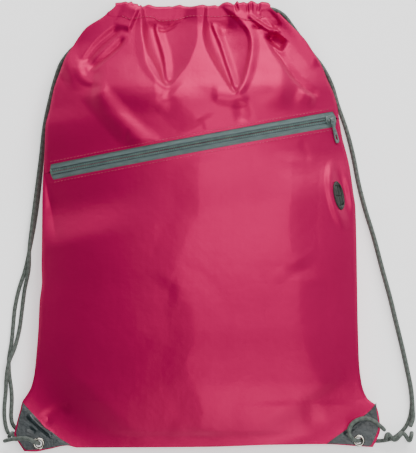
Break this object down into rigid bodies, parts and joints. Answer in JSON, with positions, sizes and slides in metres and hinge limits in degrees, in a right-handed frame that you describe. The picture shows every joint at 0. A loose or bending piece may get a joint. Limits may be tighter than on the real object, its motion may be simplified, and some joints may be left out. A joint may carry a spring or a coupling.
{
  "type": "drawstring backpack",
  "caption": "Drawstring backpack with a slanted front zip pocket, rubber cable port, reinforced corners with metal eyelets and braided cord straps.",
  "frame": {"origin": "centre of the bounding box of the bag without its cords, on the plane that its back panel rests on", "axes": "+Z out of the front, +Y towards the mouth, +X to the right as the front is looked at"},
  "size_m": [0.3851, 0.4164, 0.067],
  "materials": {
    "pack_cloth": "woven polyester, soft sheen",
    "lining_cloth": "plain woven lining",
    "corner_leather": "grained synthetic leather",
    "zip_tape": "woven tape",
    "zip_coil": "nylon coil",
    "zip_slider_metal": "satin grey-green enamel",
    "zip_pull_metal": "satin grey-green enamel",
    "port_rubber": "moulded matte rubber",
    "eyelet_nickel": "polished nickel plate",
    "cord_braid": "braided polyester cord"
  },
  "bodies": {
    "bag": {"back_panel": "pack_cloth", "front_lower_panel": "pack_cloth", "front_upper_panel": "pack_cloth", "pocket_lining": "lining_cloth", "front_cord_channel": "pack_cloth", "back_cord_channel": "pack_cloth", "zipper_upper_tape": "zip_tape", "zipper_lower_tape": "zip_tape", "zipper_upper_coil": "zip_coil", "zipper_lower_coil": "zip_coil", "zipper_left_stop": "zip_coil", "zipper_right_stop": "zip_coil", "earphone_port_rim": "port_rubber", "front_left_corner_patch": "corner_leather", "front_right_corner_patch": "corner_leather", "back_left_corner_patch": "corner_leather", "back_right_corner_patch": "corner_leather", "left_eyelet": "eyelet_nickel", "right_eyelet": "eyelet_nickel", "left_eyelet_washer": "eyelet_nickel", "right_eyelet_washer": "eyelet_nickel", "left_cord": "cord_braid", "right_cord": "cord_braid", "left_cord_knot": "cord_braid", "right_cord_knot": "cord_braid"},
    "slider": {"zipper_slider": "zip_slider_metal"},
    "pull": {"zipper_pull": "zip_pull_metal"},
    "flap_upper_left": {"port_flap_upper_left": "port_rubber"},
    "flap_upper_right": {"port_flap_upper_right": "port_rubber"},
    "flap_lower_left": {"port_flap_lower_left": "port_rubber"},
    "flap_lower_right": {"port_flap_lower_right": "port_rubber"}
  },
  "joints": [
    {"name": "slider_run", "type": "hinge", "parent": "bag", "child": "slider", "pos_m": [-0.005, 0.07525, -0.1884], "axis": [-0.1848, 0.9828, 0], "range_deg": [-61, 0]},
    {"name": "pull_swing", "type": "hinge", "parent": "slider", "child": "pull", "pos_m": [0.12446, 0.09959, 0.03006], "axis": [-0.8023, -0.31, 0.51], "range_deg": [0, 164]},
    {"name": "port_upper_left_bend", "type": "hinge", "parent": "bag", "child": "flap_upper_left", "pos_m": [0.12655, 0.03335, 0.03748], "axis": [-0.196, 0.9791, -0.0551], "range_deg": [0, 50], "stiffness_Nm_per_rad": 0.0006},
    {"name": "port_lower_left_bend", "type": "hinge", "parent": "bag", "child": "flap_lower_left", "pos_m": [0.12847, 0.02375, 0.03802], "axis": [-0.196, 0.9791, -0.0551], "range_deg": [0, 50], "stiffness_Nm_per_rad": 0.0006},
    {"name": "port_upper_right_bend", "type": "hinge", "parent": "bag", "child": "flap_upper_right", "pos_m": [0.13183, 0.0341, 0.03207], "axis": [0.196, -0.9791, 0.0551], "range_deg": [0, 50], "stiffness_Nm_per_rad": 0.0006},
    {"name": "port_lower_right_bend", "type": "hinge", "parent": "bag", "child": "flap_lower_right", "pos_m": [0.13376, 0.0245, 0.03261], "axis": [0.196, -0.9791, 0.0551], "range_deg": [0, 50], "stiffness_Nm_per_rad": 0.0006}
  ]
}
